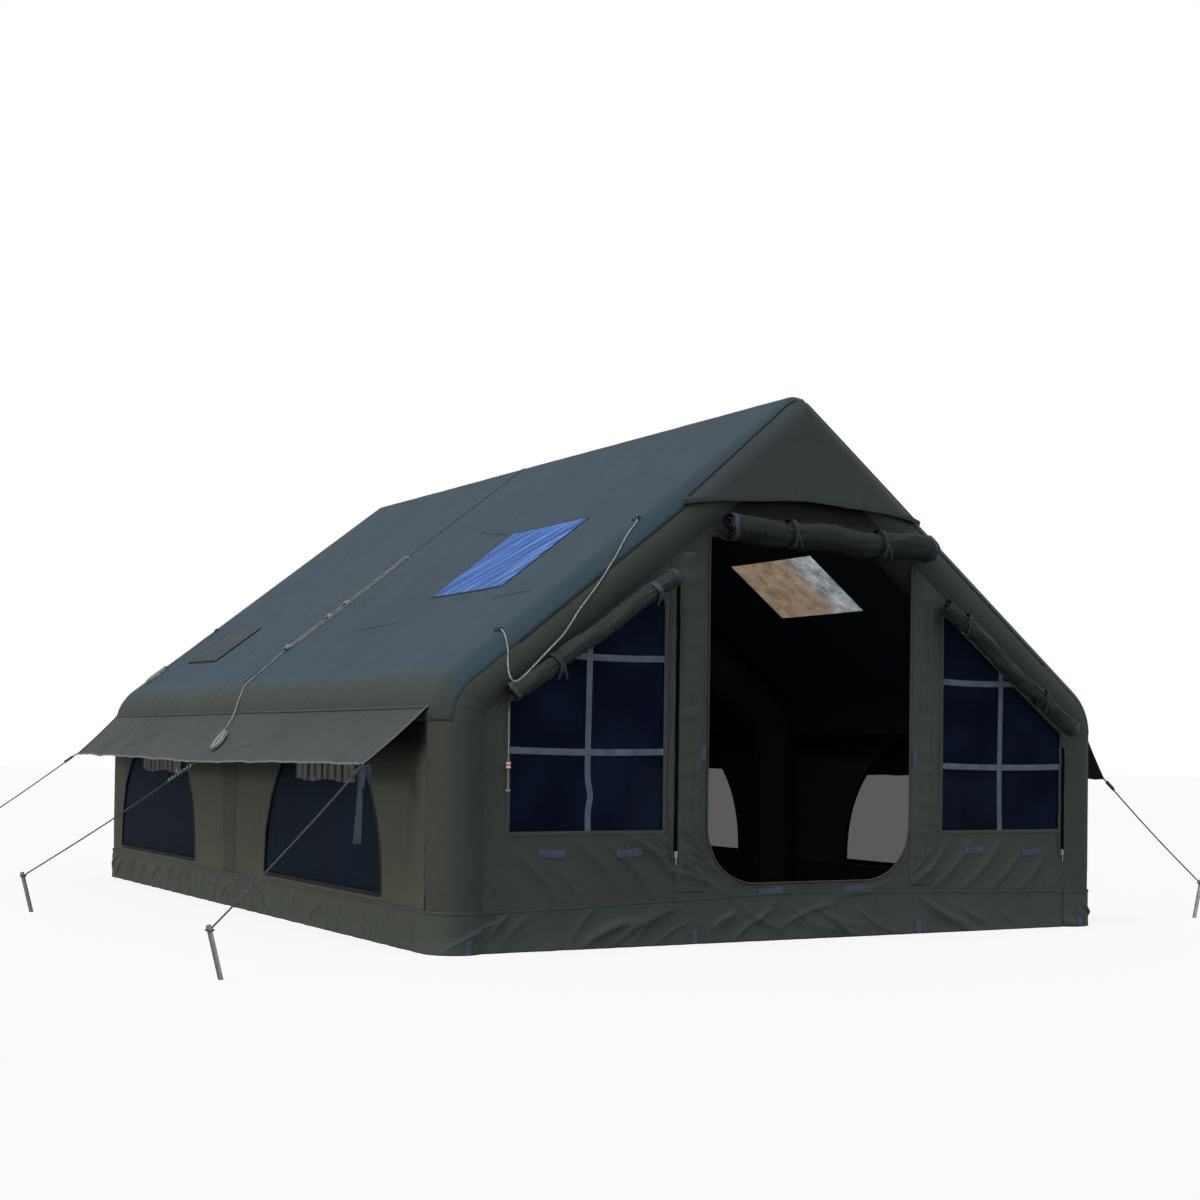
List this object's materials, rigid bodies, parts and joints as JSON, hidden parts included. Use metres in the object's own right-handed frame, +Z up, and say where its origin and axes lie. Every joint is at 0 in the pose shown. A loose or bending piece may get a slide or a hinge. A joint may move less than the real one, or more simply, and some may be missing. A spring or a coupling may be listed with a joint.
{
  "type": "inflatable tent",
  "caption": "Inflatable ridge tent: air arches in cloth sleeves under dark canvas, door and windows rolled up over mesh, skylights, stove flap, side awnings and guy ropes.",
  "frame": {"origin": "the middle of the footprint, on the ground, at the underside of the floor sheet", "axes": "+Z up; the ridge runs along Y; the door looks along -Y; the stove opening and the hanging ropes are on the -X side"},
  "size_m": [6.162, 6.092, 2.7441],
  "materials": {
    "beam_film": "satin film",
    "sleeve_canvas": "matte, woven",
    "awning_canvas": "matte, woven",
    "pennant_webbing": "matte, woven",
    "stopper_plastic": "glossy",
    "curtain_cloth": "matte, woven",
    "jamb_canvas": "matte, woven",
    "roll_cloth": "matte, woven",
    "window_net": "fine knitted mesh",
    "wall_canvas": "matte, woven",
    "hood_canvas": "matte, woven",
    "floor_cloth": "coated cloth",
    "guy_rope": "matte, woven",
    "side_canvas": "matte, woven",
    "skirt_canvas": "matte, woven",
    "purlin_film": "satin film",
    "roof_canvas": "coated canvas",
    "light_rope": "matte, woven",
    "skylight_film": "smooth clear film",
    "stake_steel": "galvanised, dull",
    "stove_cover": "matte, woven",
    "cap_plastic": "satin",
    "window_cord": "matte, woven",
    "strap_webbing": "matte, woven",
    "zip_metal": "satin",
    "zip_tape": "matte, woven"
  },
  "bodies": {
    "tent": {"air_beam_front": "beam_film", "air_beam_middle": "beam_film", "air_beam_rear": "beam_film", "arch_sleeve_front": "sleeve_canvas", "arch_sleeve_middle": "sleeve_canvas", "arch_sleeve_rear": "sleeve_canvas", "awning_left": "awning_canvas", "awning_right": "awning_canvas", "awning_strap": "pennant_webbing", "curtain_front": "curtain_cloth", "curtain_rear": "curtain_cloth", "door_jamb_left": "jamb_canvas", "door_jamb_right": "jamb_canvas", "door_roll": "roll_cloth", "front_mesh_left": "window_net", "front_mesh_right": "window_net", "front_wall": "wall_canvas", "gable_hood": "hood_canvas", "ground_sheet": "floor_cloth", "guy_back_left": "guy_rope", "guy_front_left": "guy_rope", "guy_front_right": "guy_rope", "guy_middle_left": "guy_rope", "left_wall": "side_canvas", "mud_skirt": "skirt_canvas", "rear_wall": "wall_canvas", "ridge_beam": "purlin_film", "right_wall": "side_canvas", "roof_left": "roof_canvas", "roof_right": "roof_canvas", "rope_back": "light_rope", "rope_front": "light_rope", "rope_hank_back": "light_rope", "rope_hank_middle": "light_rope", "rope_middle": "light_rope", "rope_tail": "light_rope", "side_mesh_left_front": "window_net", "side_mesh_left_rear": "window_net", "side_mesh_right_front": "window_net", "side_mesh_right_rear": "window_net", "skylight_left": "skylight_film", "skylight_right": "skylight_film", "stake_back_left": "stake_steel", "stake_front_left": "stake_steel", "stake_front_right": "stake_steel", "stake_middle_left": "stake_steel", "window_cord": "window_cord", "window_roll_left": "roll_cloth", "window_roll_right": "roll_cloth", "window_strap_left": "strap_webbing", "window_strap_right": "strap_webbing", "zip_track_door": "zip_tape", "zip_track_window": "zip_tape"},
    "stove_cover": {"stove_flap": "stove_cover"},
    "valve_lid_front": {"valve_cap_front": "cap_plastic"},
    "valve_lid_middle": {"valve_cap_middle": "cap_plastic"},
    "valve_lid_rear": {"valve_cap_rear": "cap_plastic"},
    "door_zip_pull": {"zip_slider_door": "zip_metal"},
    "window_zip_pull": {"zip_slider_window": "zip_metal"},
    "window_cord_stopper": {"cord_stopper": "stopper_plastic"}
  },
  "joints": [
    {"name": "stove_cover_fold", "type": "hinge", "parent": "tent", "child": "stove_cover", "pos_m": [-1.33407, 1.89, 1.72742], "axis": [0, 1, 0], "range_deg": [0, 150]},
    {"name": "valve_lid_front_hinge", "type": "hinge", "parent": "tent", "child": "valve_lid_front", "pos_m": [-1.699, -2.6526, 0.4143], "axis": [0, -1, 0], "range_deg": [0, 120]},
    {"name": "valve_lid_middle_hinge", "type": "hinge", "parent": "tent", "child": "valve_lid_middle", "pos_m": [-1.699, 0.15, 0.4143], "axis": [0, -1, 0], "range_deg": [0, 120]},
    {"name": "valve_lid_rear_hinge", "type": "hinge", "parent": "tent", "child": "valve_lid_rear", "pos_m": [-1.699, 2.6526, 0.4143], "axis": [0, -1, 0], "range_deg": [0, 120]},
    {"name": "door_zip_slide", "type": "slide", "parent": "tent", "child": "door_zip_pull", "axis": [0, 0, 1], "range_m": [0, 1.348]},
    {"name": "window_zip_slide", "type": "slide", "parent": "tent", "child": "window_zip_pull", "axis": [0, 0, 1], "range_m": [0, 0.557]},
    {"name": "stopper_slide", "type": "slide", "parent": "tent", "child": "window_cord_stopper", "axis": [0, 0, 1], "range_m": [-0.09, 0.2]}
  ]
}
